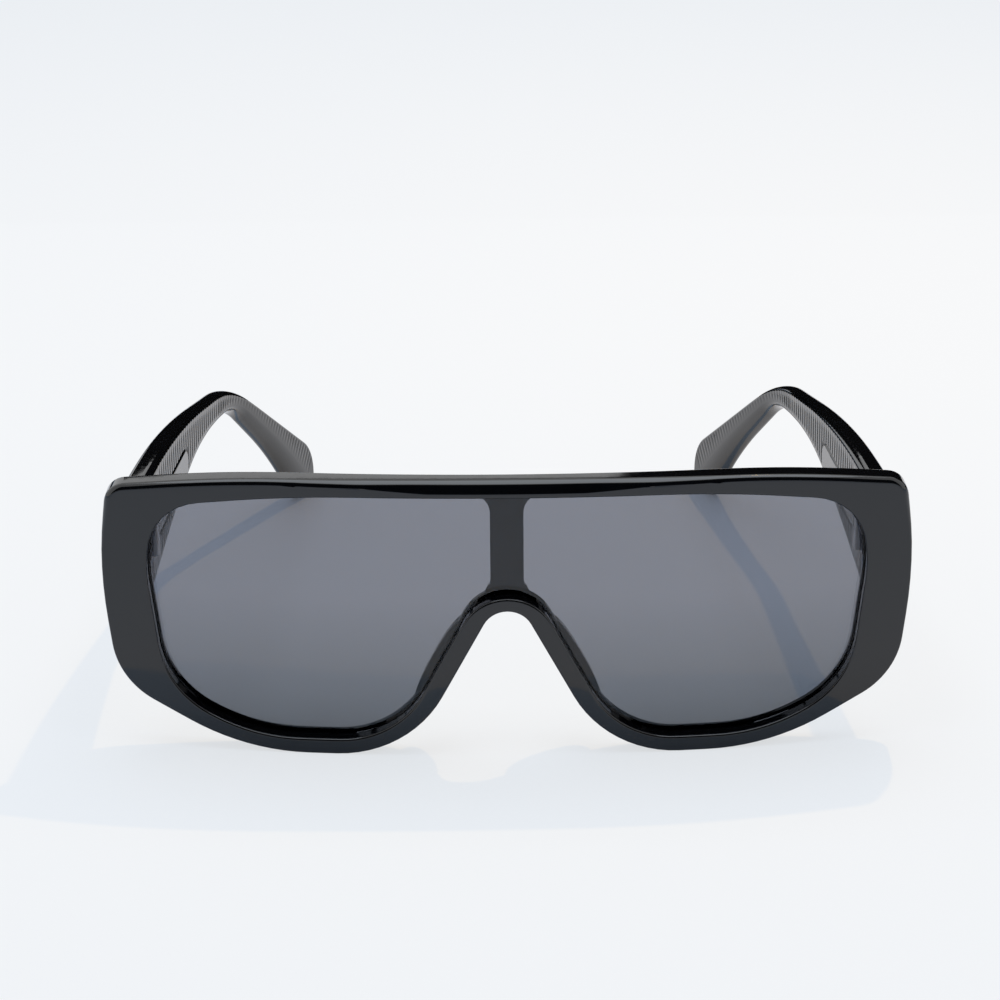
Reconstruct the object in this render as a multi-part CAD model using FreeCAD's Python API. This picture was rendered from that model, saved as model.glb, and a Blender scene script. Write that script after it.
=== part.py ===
import FreeCAD, Part
import math
import os

# Shield sunglasses, open, standing on the two rim lobes and the two temple tips.
# The front faces -Y, +Z is up, and all lengths are in millimetres.

# Front plate
front_half_width = 73.4
front_height = 53.5
front_thickness = 5.0
wrap_radius = 370.0
front_edge_bevel = 0.5
rear_edge_bevel = 0.8
temple_corner_radius = 4.2
cheek_corner_radius = 14.0
bridge_height = 19.45
arch_radius = 4.8
# Corners of the right half, from the brow round to the lobe: shares of half width and height
front_corner_shares = ((0.681, 1.0), (0.981, 0.951), (1.009, 0.654),
                       (0.975, 0.238), (0.659, 0.0), (0.248, 0.0))
# Shares of the shorter neighbouring side that soft turns take up
brow_turn_share = 0.55
side_turn_share = 0.66
lobe_outer_share = 0.44
lobe_inner_share = 0.44

# Flat facet along the middle of the brow
facet_radius = 740.0
facet_angle = 21.0
facet_drop = 2.7

# Pocket for the lens, sunk from the front
brow_rim = 3.1
shoulder_rim = 4.4
side_rim = 8.7
cheek_rim = 3.3
lower_rim = 2.95
arch_rim = 3.35
pocket_depth = 2.5
pocket_edge_bevel = 0.3
pocket_arch_radius = 8.9
pocket_brow_share = 0.45
pocket_temple_share = 0.68
pocket_side_share = 0.3
pocket_cheek_share = 0.49
pocket_outer_share = 0.48
pocket_inner_share = 0.4

# Lens, its seat and the bar behind it
lens_thickness = 1.5
lens_clearance = 0.05
seat_lip = 0.4
bar_width = 6.0
bar_top_radius = 1.8
bar_foot_radius = 1.2

# Nose pads behind the flanks of the arch, rounded along and across
pad_length = 21.0
pad_width = 4.8
pad_end_radius = 2.2
pad_depth = 5.0
pad_drop = 17.2
pad_offset = 2.4
pad_cross_radius = 4.8
pad_cross_shift = 1.2
pad_long_radius = 15.0

# Temples seen from above: how far the outer side lies inside the front's end or the root
temple_reach = 136.0
hook_length = 42.0
root_inset = 3.0
middle_inset = 3.6
bend_inset = 8.2
tip_inset = 23.3
root_thickness = 4.6
bend_thickness = 3.8
plan_bend_radius = 80.0
middle_share = 0.553
bow_share = 0.6

# Temples seen from the side: drops from the brow or the root, hook lengths before the tip's end
root_drop = 3.7
root_height = 24.4
crown_drop = 1.3
nape_drop = 11.1
nape_length = 38.6
waist_drop = 12.4
throat_drop = 16.6
throat_length = 37.0
paddle_length = 17.6
paddle_bottom = 15.9
tip_top = 10.6
tip_bottom = -5.83
nape_radius = 40.0
throat_radius = 20.0
tip_top_radius = 10.0
tip_bottom_radius = 3.2
crown_share = 0.452
crown_turn_share = 0.6
waist_share = 0.657
waist_turn_share = 0.45
paddle_turn_share = 0.36
temple_edge_bevel = 0.6
butt_gap = 0.15

# Flutes across the inner side of each temple, along a line down its middle
flute_pitch = 2.1
flute_half_width = 0.75
flute_depth = 0.25
flute_rise = 0.12
flute_start = 23.0
flute_end_gap = 5.0
root_line_drop = 8.8
middle_line_drop = 9.4
bend_line_drop = 13.4
tip_line_height = 9.0
line_turn_share = 0.25

# Smooth panel left below the flutes near the hinge
panel_end = 46.0
panel_drop = 9.8
panel_radius = 4.0

# Five-barrel hinge
hinge_height = 7.0
hinge_drop = 10.8
barrel_count = 5
barrel_radius = 1.2
barrel_stand_off = 2.2
barrel_inset = 0.9
barrel_clearance = 0.04
leaf_thickness = 0.8
front_leaf_width = 3.8
temple_leaf_length = 7.6
temple_leaf_gap = 1.2
anchor_width = 1.4
anchor_length = 1.7
anchor_spacing = 3.6
relief_gap = 0.3

# Hinge screw
screw_radius = 0.7
screw_fit = 0.03
screw_head_radius = 1.1
screw_head_height = 0.6
screw_slot_width = 0.3
screw_slot_depth = 0.3

# Length that cutting shapes run past what they cut
overrun = 3.0

# Places that follow from the sizes above
arch_peak = front_height - bridge_height
root_half_span = front_half_width - root_inset
root_top = front_height - root_drop
hinge_middle = root_top - hinge_drop
bend_distance = temple_reach - hook_length
nape_distance = temple_reach - nape_length
throat_distance = temple_reach - throat_length

origin = FreeCAD.Vector(0, 0, 0)
across = FreeCAD.Vector(1, 0, 0)
back = FreeCAD.Vector(0, 1, 0)
up = FreeCAD.Vector(0, 0, 1)


def rounded_edges(corners, closed=True):
    """Straight runs between (point, radius) corners, joined by tangent arcs."""
    turns = []
    for place, (point, radius) in enumerate(corners):
        following = corners[(place + 1) % len(corners)][0]
        if not radius:
            turns.append((point, None, point))
            continue
        towards_last = (corners[place - 1][0] - point).normalize()
        towards_next = (following - point).normalize()
        half_angle = towards_last.getAngle(towards_next) / 2
        reach = radius / math.tan(half_angle)
        middle = (towards_last + towards_next).normalize() * (radius / math.sin(half_angle) - radius)
        turns.append((point + towards_last * reach, point + middle, point + towards_next * reach))
    edges = []
    for place, (start, middle, finish) in enumerate(turns):
        if place or closed:
            edges.append(Part.LineSegment(turns[place - 1][2], start).toShape())
        if middle:
            edges.append(Part.Arc(start, middle, finish).toShape())
    return edges


def prism(corners, direction):
    """Solid drawn along a direction from a closed outline of rounded corners."""
    wire = Part.Wire(Part.sortEdges(rounded_edges(corners))[0])
    return Part.Face(wire).extrude(direction)


def inset(points, widths):
    """Corners of a clockwise outline of the front, moved inwards by one width per side."""
    moved = []
    for place, point in enumerate(points):
        last_in = inward(point - points[place - 1])
        next_in = inward(points[(place + 1) % len(points)] - point)
        spread = last_in.x * next_in.z - last_in.z * next_in.x
        shift_x = (widths[place - 1] * next_in.z - widths[place] * last_in.z) / spread
        shift_z = (widths[place] * last_in.x - widths[place - 1] * next_in.x) / spread
        moved.append(point + FreeCAD.Vector(shift_x, 0, shift_z))
    return moved


def inward(run):
    """Unit direction into the front, square to one run of its clockwise outline."""
    return FreeCAD.Vector(run.z, 0, -run.x).normalize()


def inset_evenly(corners, width):
    """Outline moved inwards by one width all round, with its arcs kept concentric."""
    points = [point for point, radius in corners]
    radii = []
    for place, (point, radius) in enumerate(corners):
        last_run = point - points[place - 1]
        next_run = points[(place + 1) % len(points)] - point
        bulges = inward(last_run).dot(next_run) > 0
        radii.append(radius - width if bulges else radius + width)
    return list(zip(inset(points, [width] * len(points)), radii))


def wrap_drum(radius):
    """Upright drum about the wrap axis of the front."""
    height = front_height + 2 * overrun
    return Part.makeCylinder(radius, height, FreeCAD.Vector(0, wrap_radius, -overrun), up)


def wrap_shell(front_depth, rear_depth):
    """Curved layer of the front between two depths behind its face."""
    return wrap_drum(wrap_radius - front_depth).cut(wrap_drum(wrap_radius - rear_depth))


def edges_at_depth(shape, depth):
    """Edges of a shape that lie at one depth behind the face of the front."""
    found = []
    for edge in shape.Edges:
        middle = edge.valueAt((edge.FirstParameter + edge.LastParameter) / 2)
        radius = math.hypot(middle.x, middle.y - wrap_radius)
        if abs(wrap_radius - depth - radius) < lens_clearance:
            found.append(edge)
    return found


def lies_over(edge, wire):
    """True of an edge that a wire in the plane of the front shows through, seen from the front."""
    middle = edge.valueAt((edge.FirstParameter + edge.LastParameter) / 2)
    seen = Part.Vertex(middle.x, 0, middle.z)
    return wire.distToShape(seen)[0] < lens_clearance


def mirrored(shape):
    """Left-hand twin of a right-hand shape."""
    return shape.mirror(origin, across)


def soft_radius(points, place, share):
    """Radius of a turn that takes up a share of the shorter of its two neighbouring sides."""
    to_last = points[place - 1] - points[place]
    to_next = points[(place + 1) % len(points)] - points[place]
    reach = share * min(to_last.Length, to_next.Length)
    return reach * math.tan(to_last.getAngle(to_next) / 2)


# Outline of the front
right_points = [FreeCAD.Vector(front_half_width * width_share, 0, front_height * height_share)
                for width_share, height_share in front_corner_shares]
left_points = [FreeCAD.Vector(-point.x, 0, point.z) for point in right_points[::-1]]
front_points = right_points + [FreeCAD.Vector(0, 0, arch_peak)] + left_points
half_radii = [soft_radius(front_points, 0, brow_turn_share), temple_corner_radius,
              soft_radius(front_points, 2, side_turn_share), cheek_corner_radius,
              soft_radius(front_points, 4, lobe_outer_share),
              soft_radius(front_points, 5, lobe_inner_share)]
front_outline = list(zip(front_points, half_radii + [arch_radius] + half_radii[::-1]))

# Outlines of the pocket, the lens and the windows behind it
half_rims = [shoulder_rim, side_rim, side_rim, cheek_rim, lower_rim, arch_rim]
pocket_points = inset(front_points, half_rims + half_rims[::-1] + [brow_rim])
half_radii = [soft_radius(pocket_points, 0, pocket_brow_share),
              soft_radius(pocket_points, 1, pocket_temple_share),
              soft_radius(pocket_points, 2, pocket_side_share),
              soft_radius(pocket_points, 3, pocket_cheek_share),
              soft_radius(pocket_points, 4, pocket_outer_share),
              soft_radius(pocket_points, 5, pocket_inner_share)]
pocket_outline = list(zip(pocket_points, half_radii + [pocket_arch_radius] + half_radii[::-1]))
lens_outline = inset_evenly(pocket_outline, lens_clearance)
window_outline = inset_evenly(pocket_outline, seat_lip)
seat_depth = pocket_depth + lens_thickness
through = back * wrap_radius


def make_front_blank():
    """Wrapped plate with bevelled edges and the brow facet, still without openings."""
    plate = wrap_shell(0, front_thickness).common(prism(front_outline, through))
    plate = plate.makeChamfer(front_edge_bevel, edges_at_depth(plate, 0))
    plate = plate.makeChamfer(rear_edge_bevel, edges_at_depth(plate, front_thickness))
    tilt = math.radians(facet_angle)
    rise = FreeCAD.Vector(0, math.sin(tilt), math.cos(tilt))
    inwards = FreeCAD.Vector(0, math.cos(tilt), -math.sin(tilt))
    foot = FreeCAD.Vector(0, 0, front_height - facet_drop)
    base = foot + inwards * facet_radius - rise * (2 * front_height)
    return plate.common(Part.makeCylinder(facet_radius, 4 * front_height, base, rise))


def bar_edges(shape, wanted):
    """Upright-corner edges of the windows beside the bar, at the wanted height."""
    found = []
    for edge in shape.Edges:
        start = edge.Vertexes[0].Point
        finish = edge.Vertexes[-1].Point
        beside_bar = abs(abs(start.x) - bar_width / 2) < lens_clearance
        if beside_bar and abs(finish.y - start.y) > front_thickness and wanted(start.z):
            found.append(edge)
    return found


def make_windows():
    """The two eye openings inside the seat lip, on either side of the bar."""
    opening = prism(window_outline, through)
    bar_corner = FreeCAD.Vector(-bar_width / 2, -overrun, -overrun)
    bar = Part.makeBox(bar_width, wrap_radius + 2 * overrun, front_height + 2 * overrun, bar_corner)
    opening = opening.cut(bar)
    middle_height = (arch_peak + front_height) / 2
    opening = opening.makeFillet(bar_top_radius, bar_edges(opening, lambda z: z > middle_height))
    return opening.makeFillet(bar_foot_radius, bar_edges(opening, lambda z: z < middle_height))


def make_lens():
    """One wrapped shield lens that lies on the seat lip and across the bar."""
    return wrap_shell(pocket_depth, seat_depth).common(prism(lens_outline, through))


def make_front_frame():
    """Front with its lens pocket and windows."""
    pocket = prism(pocket_outline, through).cut(wrap_drum(wrap_radius - seat_depth))
    frame = make_front_blank().cut(pocket)
    mouth = Part.Wire(rounded_edges(pocket_outline))
    mouth_edges = [edge for edge in edges_at_depth(frame, 0) if lies_over(edge, mouth)]
    frame = frame.makeChamfer(pocket_edge_bevel, mouth_edges)
    return frame.cut(make_windows())


def make_pad():
    """Right nose pad: a rounded bar on the rear of the arch's flank, crowned along and across."""
    half_length = pad_length / 2
    half_width = pad_width / 2
    corners = []
    for x, z in ((half_width, half_length), (half_width, -half_length),
                 (-half_width, -half_length), (-half_width, half_length)):
        corners.append((FreeCAD.Vector(x, 0, z), pad_end_radius))
    rear = front_thickness + pad_depth
    bar = prism(corners, back * (rear + overrun))
    cross_base = FreeCAD.Vector(pad_cross_shift, rear - pad_cross_radius, -pad_length)
    crown_across = Part.makeCylinder(pad_cross_radius, 2 * pad_length, cross_base, up)
    bar_front = prism(corners, back * (rear - pad_cross_radius))
    long_base = FreeCAD.Vector(-pad_length, rear - pad_long_radius, 0)
    crown_along = Part.makeCylinder(pad_long_radius, 2 * pad_length, long_base, across)
    pad = bar.common(crown_across.fuse(bar_front)).common(crown_along)
    flank = right_points[-1] - FreeCAD.Vector(0, 0, arch_peak)
    lean = math.degrees(math.atan2(flank.x, -flank.z))
    pad_x = pad_drop * flank.x / -flank.z + pad_offset
    pad.rotate(origin, back, -lean)
    pad.translate(FreeCAD.Vector(pad_x, 0, arch_peak - pad_drop))
    return pad.common(wrap_drum(wrap_radius - front_thickness))


# Plan of the right temple, run past its tip
plan_places = ((root_half_span, 0), (root_half_span - middle_inset, bend_distance * middle_share),
               (root_half_span - bend_inset, bend_distance), (root_half_span - tip_inset, temple_reach))
outer_plan = [FreeCAD.Vector(half_span, distance, 0) for half_span, distance in plan_places]
outer_plan[3] += (outer_plan[3] - outer_plan[2]).normalize() * overrun
plan_radii = [0, soft_radius(outer_plan, 1, bow_share), plan_bend_radius, 0]
middle_thickness = (root_thickness + bend_thickness) / 2
plan_thickness = [root_thickness, middle_thickness, bend_thickness, bend_thickness]
inner_plan = [point - across * wall for point, wall in zip(outer_plan, plan_thickness)]
inner_line = Part.Wire(rounded_edges(list(zip(inner_plan, plan_radii)), closed=False))


def inner_x(distance):
    """Distance of the right temple's inner side from the middle, at a distance back."""
    finish = FreeCAD.Vector(2 * front_half_width, distance, 0)
    probe = Part.LineSegment(FreeCAD.Vector(0, distance, 0), finish).toShape()
    return inner_line.distToShape(probe)[1][0][0].x


# Hinge axis on the right
hinge_x = inner_x(barrel_stand_off + front_thickness) - barrel_inset
rear_radius = wrap_radius - front_thickness
hinge_y = wrap_radius - math.sqrt(rear_radius ** 2 - hinge_x ** 2) + barrel_stand_off
hinge_bottom = hinge_middle - hinge_height / 2
barrel_pitch = hinge_height / barrel_count
hinge_foot = FreeCAD.Vector(hinge_x, hinge_y, hinge_bottom)


def make_temple_body():
    """Right temple: its plan drawn upwards, met by its side outline drawn across."""
    plan = list(zip(outer_plan, plan_radii)) + list(zip(inner_plan, plan_radii))[::-1]
    body = prism(plan, up * (front_height + overrun))
    side_places = ((0, root_top), (nape_distance * crown_share, root_top - crown_drop),
                   (nape_distance, root_top - nape_drop), (temple_reach, tip_top),
                   (temple_reach, tip_bottom), (temple_reach - paddle_length, paddle_bottom),
                   (throat_distance, root_top - throat_drop),
                   (throat_distance * waist_share, root_top - waist_drop), (0, root_top - root_height))
    points = [FreeCAD.Vector(0, distance, height) for distance, height in side_places]
    radii = [0, soft_radius(points, 1, crown_turn_share), nape_radius, tip_top_radius, tip_bottom_radius,
             soft_radius(points, 5, paddle_turn_share), throat_radius,
             soft_radius(points, 7, waist_turn_share), 0]
    body = body.common(prism(list(zip(points, radii)), across * (2 * front_half_width)))
    body = body.makeChamfer(temple_edge_bevel, root_top_edges(body))
    return body.common(wrap_drum(wrap_radius - front_thickness - butt_gap))


def root_top_edges(body):
    """The two long edges that start at the top of a temple's root and run on all round it."""
    found = []
    for edge in body.Edges:
        distances = [vertex.Point.y for vertex in edge.Vertexes]
        runs_back = min(distances) < butt_gap and max(distances) > overrun
        if runs_back and edge.Vertexes[0].Point.z > hinge_middle:
            found.append(edge)
    return found


def make_flutes():
    """V-shaped cutters set across the inner side of the right temple at an even pitch."""
    line_places = ((flute_start, root_top - root_line_drop),
                   (bend_distance * middle_share, root_top - middle_line_drop),
                   (bend_distance, root_top - bend_line_drop),
                   (temple_reach - flute_end_gap, tip_line_height))
    points = [FreeCAD.Vector(0, distance, height) for distance, height in line_places]
    radii = [0, soft_radius(points, 1, line_turn_share), soft_radius(points, 2, line_turn_share), 0]
    line = Part.Wire(rounded_edges(list(zip(points, radii)), closed=False))
    stations = line.discretize(Distance=flute_pitch)
    length = root_height + 2 * overrun
    mouth_half_width = flute_half_width * (flute_depth + flute_rise) / flute_depth
    panel_top = root_top - panel_drop
    panel_places = ((0, 0, 0), (panel_end, 0, 0), (panel_end, panel_top, panel_radius), (0, panel_top, 0))
    panel = [(FreeCAD.Vector(0, distance, height), radius) for distance, height, radius in panel_places]
    smooth = prism(panel, across * (2 * front_half_width))
    cutters = []
    for last, here, following in zip(stations, stations[1:], stations[2:]):
        run = following - last
        slope = (inner_x(following.y) - inner_x(last.y)) / run.y
        along = FreeCAD.Vector(slope * run.y, run.y, run.z).normalize()
        inwards = FreeCAD.Vector(-1, slope, 0).normalize()
        axis = along.cross(inwards)
        foot = FreeCAD.Vector(inner_x(here.y), here.y, here.z) - axis * (length / 2)
        mouth = foot + inwards * flute_rise
        vee = [(foot - inwards * flute_depth, 0), (mouth + along * mouth_half_width, 0),
               (mouth - along * mouth_half_width, 0)]
        cutters.append(prism(vee, axis * length).cut(smooth))
    return cutters


def make_barrels(first):
    """Every other barrel of the hinge, bored for the screw, from the first level up."""
    barrels = []
    for level in range(first, barrel_count, 2):
        foot = hinge_foot + up * (level * barrel_pitch + barrel_clearance / 2)
        barrels.append(Part.makeCylinder(barrel_radius, barrel_pitch - barrel_clearance, foot, up))
    return barrels


def make_bore():
    """Hole for the hinge screw."""
    foot = hinge_foot - up * overrun
    return Part.makeCylinder(screw_radius + screw_fit, hinge_height + 2 * overrun, foot, up)


def make_front_hinge():
    """Right front leaf: three barrels on webs, a plate let into the rim and two anchors."""
    plate_corner = FreeCAD.Vector(hinge_x, 0, hinge_bottom)
    plate = Part.makeBox(front_leaf_width, 2 * hinge_y, hinge_height, plate_corner)
    leaf = plate.common(wrap_shell(front_thickness - leaf_thickness, front_thickness))
    for barrel in make_barrels(0):
        level = barrel.BoundBox.ZMin
        web_corner = FreeCAD.Vector(hinge_x, 0, level)
        web = Part.makeBox(barrel_radius, hinge_y, barrel_pitch - barrel_clearance, web_corner)
        web = web.common(wrap_drum(wrap_radius - front_thickness + leaf_thickness))
        leaf = leaf.fuse([barrel, web])
    anchor_x = hinge_x + front_leaf_width / 2
    rear_y = wrap_radius - math.sqrt(rear_radius ** 2 - anchor_x ** 2)
    anchor_y = rear_y - leaf_thickness / 2 - anchor_length
    for side in (-1, 1):
        middle = FreeCAD.Vector(anchor_x, anchor_y, hinge_middle + side * anchor_spacing / 2)
        corner = middle - (across + up) * (anchor_width / 2)
        leaf = leaf.fuse(Part.makeBox(anchor_width, anchor_length, anchor_width, corner))
    return leaf.removeSplitter().cut(make_bore())


def make_temple_hinge():
    """Right temple leaf: two barrels, a plate let into the inner side and two anchors."""
    start = hinge_y + temple_leaf_gap
    finish = start + temple_leaf_length
    start_x = inner_x(start)
    finish_x = inner_x(finish)
    plate_points = ((start_x, start), (finish_x, finish),
                    (finish_x + leaf_thickness, finish), (start_x + leaf_thickness, start))
    plate = [(FreeCAD.Vector(x, y, hinge_bottom), 0) for x, y in plate_points]
    leaf = prism(plate, up * hinge_height)
    for barrel in make_barrels(1):
        web_corner = FreeCAD.Vector(hinge_x, hinge_y, barrel.BoundBox.ZMin)
        web_width = start_x + leaf_thickness - hinge_x
        web_length = temple_leaf_gap + leaf_thickness
        web = Part.makeBox(web_width, web_length, barrel_pitch - barrel_clearance, web_corner)
        leaf = leaf.fuse([barrel, web])
    middle_y = (start + finish) / 2
    anchor_x = inner_x(middle_y) + leaf_thickness / 2
    for side in (-1, 1):
        middle = FreeCAD.Vector(anchor_x, middle_y + side * anchor_spacing / 2, hinge_middle)
        corner = middle - (back + up) * (anchor_width / 2)
        leaf = leaf.fuse(Part.makeBox(anchor_length, anchor_width, anchor_width, corner))
    return leaf.removeSplitter().cut(make_bore())


def make_relief():
    """Room in the root of the temple for the front leaf's barrels, webs and screw head."""
    height = hinge_height + screw_head_height + 2 * relief_gap
    foot = hinge_foot - up * relief_gap
    radius = barrel_radius + relief_gap
    round_room = Part.makeCylinder(radius, height, foot, up)
    web_room = Part.makeBox(radius, hinge_y, height, FreeCAD.Vector(hinge_x, 0, foot.z))
    return round_room.fuse(web_room)


def make_screw():
    """Slotted hinge screw."""
    shank = Part.makeCylinder(screw_radius, hinge_height, hinge_foot, up)
    top = hinge_foot + up * hinge_height
    head = Part.makeCylinder(screw_head_radius, screw_head_height, top, up)
    slot_foot = screw_head_height - screw_slot_depth
    slot_corner = top + FreeCAD.Vector(-screw_head_radius, -screw_slot_width / 2, slot_foot)
    slot = Part.makeBox(2 * screw_head_radius, screw_slot_width, screw_slot_depth, slot_corner)
    return shank.fuse(head).removeSplitter().cut(slot)


front_hinge = make_front_hinge()
temple_hinge = make_temple_hinge()
temple = make_temple_body().cut([make_relief(), temple_hinge] + make_flutes())
front_frame = make_front_frame().cut([front_hinge, mirrored(front_hinge)])

right_pieces = {
    "nose_pad": make_pad(),
    "front_hinge": front_hinge,
    "temple": temple,
    "temple_hinge": temple_hinge,
    "hinge_screw": make_screw(),
}
pieces = {"front_frame": front_frame, "shield_lens": make_lens()}
for name, shape in right_pieces.items():
    pieces[name + "_right"] = shape
    pieces[name + "_left"] = mirrored(shape)

# The origin lies on the table, midway between the front and the temple tips
os.makedirs("parts", exist_ok=True)
for name, shape in pieces.items():
    shape.translate(back * (-temple_reach / 2))
    shape.exportStep("parts/" + name + ".step")
    print(name, len(shape.Solids), round(shape.Volume), shape.isValid())
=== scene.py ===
import logging
import math
from dataclasses import dataclass, field
from enum import Enum
from typing import Iterable, Sequence

import bmesh
import bpy
from bmesh.types import BMEdge, BMesh, BMFace, BMVert
from bpy.types import Material, Node, NodeSocket, Object
from mathutils import Matrix, Vector
from mathutils.geometry import interpolate_bezier, intersect_line_line
from mathutils.kdtree import KDTree


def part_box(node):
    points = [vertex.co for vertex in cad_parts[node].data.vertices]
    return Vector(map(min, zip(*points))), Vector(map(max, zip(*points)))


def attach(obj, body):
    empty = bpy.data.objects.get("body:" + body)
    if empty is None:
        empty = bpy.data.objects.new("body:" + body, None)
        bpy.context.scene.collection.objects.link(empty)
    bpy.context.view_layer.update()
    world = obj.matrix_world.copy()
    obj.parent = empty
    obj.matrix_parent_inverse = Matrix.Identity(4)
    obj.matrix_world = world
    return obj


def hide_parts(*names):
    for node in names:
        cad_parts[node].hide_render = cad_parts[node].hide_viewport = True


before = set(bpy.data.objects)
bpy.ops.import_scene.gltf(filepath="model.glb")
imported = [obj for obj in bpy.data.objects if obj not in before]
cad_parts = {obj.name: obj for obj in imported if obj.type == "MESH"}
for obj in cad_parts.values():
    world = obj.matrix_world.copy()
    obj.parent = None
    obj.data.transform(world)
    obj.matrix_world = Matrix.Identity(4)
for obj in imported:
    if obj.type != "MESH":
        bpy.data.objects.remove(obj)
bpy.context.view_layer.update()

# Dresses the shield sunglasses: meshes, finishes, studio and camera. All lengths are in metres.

LOG = logging.getLogger("sunglasses")
ACROSS = Vector((1.0, 0.0, 0.0))
BACK = Vector((0.0, 1.0, 0.0))
UP = Vector((0.0, 0.0, 1.0))
WRAP_RADIUS = 0.37
Chain = list[BMEdge]
Row = tuple[float, ...]
Pair = tuple[float, float]
Pairs = tuple[Pair, ...]
Triple = tuple[float, float, float]


class Side(Enum):
    """The two sides of the sunglasses, with the sign of their X."""

    LEFT = -1
    RIGHT = 1

    @property
    def word(self) -> str:
        """The side's name as the frame's nodes and bodies spell it."""
        return self.name.lower()


class NodeTree:
    """A material and its nodes, with short calls that add and join them."""

    def __init__(self, name: str) -> None:
        """Starts a material.

        Args:
            name: The material's name.
        """
        self.material = bpy.data.materials.new(name)
        self.material.use_nodes = True
        self.tree = self.material.node_tree
        self.surface = self.tree.nodes["Principled BSDF"]
        self.place = self.add("ShaderNodeTexCoord").outputs["Object"]

    def add(self, kind: str, **values: float) -> Node:
        """Adds a node.

        Args:
            kind: Blender's name for the node's type.
            **values: Values for its input sockets, with _ for a space in a socket's name.

        Returns:
            The new node.
        """
        node = self.tree.nodes.new(kind)
        for socket, value in values.items():
            node.inputs[socket.replace("_", " ")].default_value = value
        return node

    def join(self, start: NodeSocket, finish: NodeSocket) -> None:
        """Joins an output socket to an input socket."""
        self.tree.links.new(start, finish)

    def feed(self, value: NodeSocket, socket: str) -> None:
        """Joins a value to one of the surface shader's own sockets."""
        self.join(value, self.surface.inputs[socket])

    def set(self, **values: object) -> None:
        """Sets constant values on the surface shader's own sockets."""
        for socket, value in values.items():
            self.surface.inputs[socket.replace("_", " ")].default_value = value

    def noise(self, scale: float, detail: float,
              stretch: Sequence[float] = (1.0, 1.0, 1.0)) -> NodeSocket:
        """Adds noise on the piece's own place.

        Args:
            scale: How many lumps there are to a metre.
            detail: How many finer layers it has.
            stretch: Scale along each axis before the noise.

        Returns:
            The noise's value socket.
        """
        mapping = self.add("ShaderNodeMapping")
        mapping.inputs["Scale"].default_value = stretch
        self.join(self.place, mapping.inputs["Vector"])
        noise = self.add("ShaderNodeTexNoise", Scale=scale, Detail=detail)
        self.join(mapping.outputs["Vector"], noise.inputs["Vector"])
        return noise.outputs[0]

    def spread(self, value: NodeSocket, low: float, high: float,
               start: float = 0.3, finish: float = 0.7) -> NodeSocket:
        """Maps a value from one range to another.

        Args:
            value: The socket to map.
            low: Result at the start of the range.
            high: Result at its finish.
            start: Value that gives low.
            finish: Value that gives high.

        Returns:
            The mapped value's socket.
        """
        node = self.add("ShaderNodeMapRange", From_Min=start, From_Max=finish, To_Min=low, To_Max=high)
        self.join(value, node.inputs["Value"])
        return node.outputs["Result"]

    def ramp(self, value: NodeSocket, first: Sequence[float], last: Sequence[float]) -> NodeSocket:
        """Runs from one colour to another along a value from 0 to 1.

        Args:
            value: The socket that drives the ramp.
            first: Colour at 0.
            last: Colour at 1.

        Returns:
            The colour's socket.
        """
        node = self.add("ShaderNodeValToRGB")
        node.color_ramp.elements[0].color = (*first, 1.0)
        node.color_ramp.elements[1].color = (*last, 1.0)
        self.join(value, node.inputs["Fac"])
        return node.outputs["Color"]

    def bump(self, height: NodeSocket, strength: float, distance: float) -> None:
        """Raises the surface by a height socket, on top of any bump it has.

        Args:
            height: Socket with the height.
            strength: Share of the bump that shows.
            distance: Height of the bump.
        """
        node = self.add("ShaderNodeBump", Strength=strength, Distance=distance)
        self.join(height, node.inputs["Height"])
        socket = self.surface.inputs["Normal"]
        if socket.links:
            self.join(socket.links[0].from_socket, node.inputs["Normal"])
        self.join(node.outputs["Normal"], socket)


@dataclass(frozen=True)
class GlossPlastic:
    """Polished black moulded plastic, with faint flow marks and fine wiping marks."""

    name: str
    dark: Triple = (0.0015, 0.0015, 0.0018)
    pale: Triple = (0.004, 0.004, 0.0044)
    smooth: float = 0.035
    worn: float = 0.085
    flow_scale: float = 90.0
    flow_detail: float = 3.0
    flow_strength: float = 0.08
    wipe_scale: float = 700.0
    wipe_detail: float = 4.0
    wipe_stretch: Triple = (1.0, 1.0, 0.12)
    wipe_strength: float = 0.02
    wave_height: float = 0.00002
    index: float = 1.6

    def material(self) -> Material:
        """Makes the finish's material.

        Returns:
            The material.
        """
        tree = NodeTree(self.name)
        tree.set(IOR=self.index)
        flow = tree.noise(self.flow_scale, self.flow_detail)
        tree.feed(tree.ramp(flow, self.dark, self.pale), "Base Color")
        wipe = tree.noise(self.wipe_scale, self.wipe_detail, self.wipe_stretch)
        tree.feed(tree.spread(wipe, self.smooth, self.worn), "Roughness")
        tree.bump(flow, self.flow_strength, self.wave_height)
        tree.bump(wipe, self.wipe_strength, self.wave_height)
        return tree.material


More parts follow.
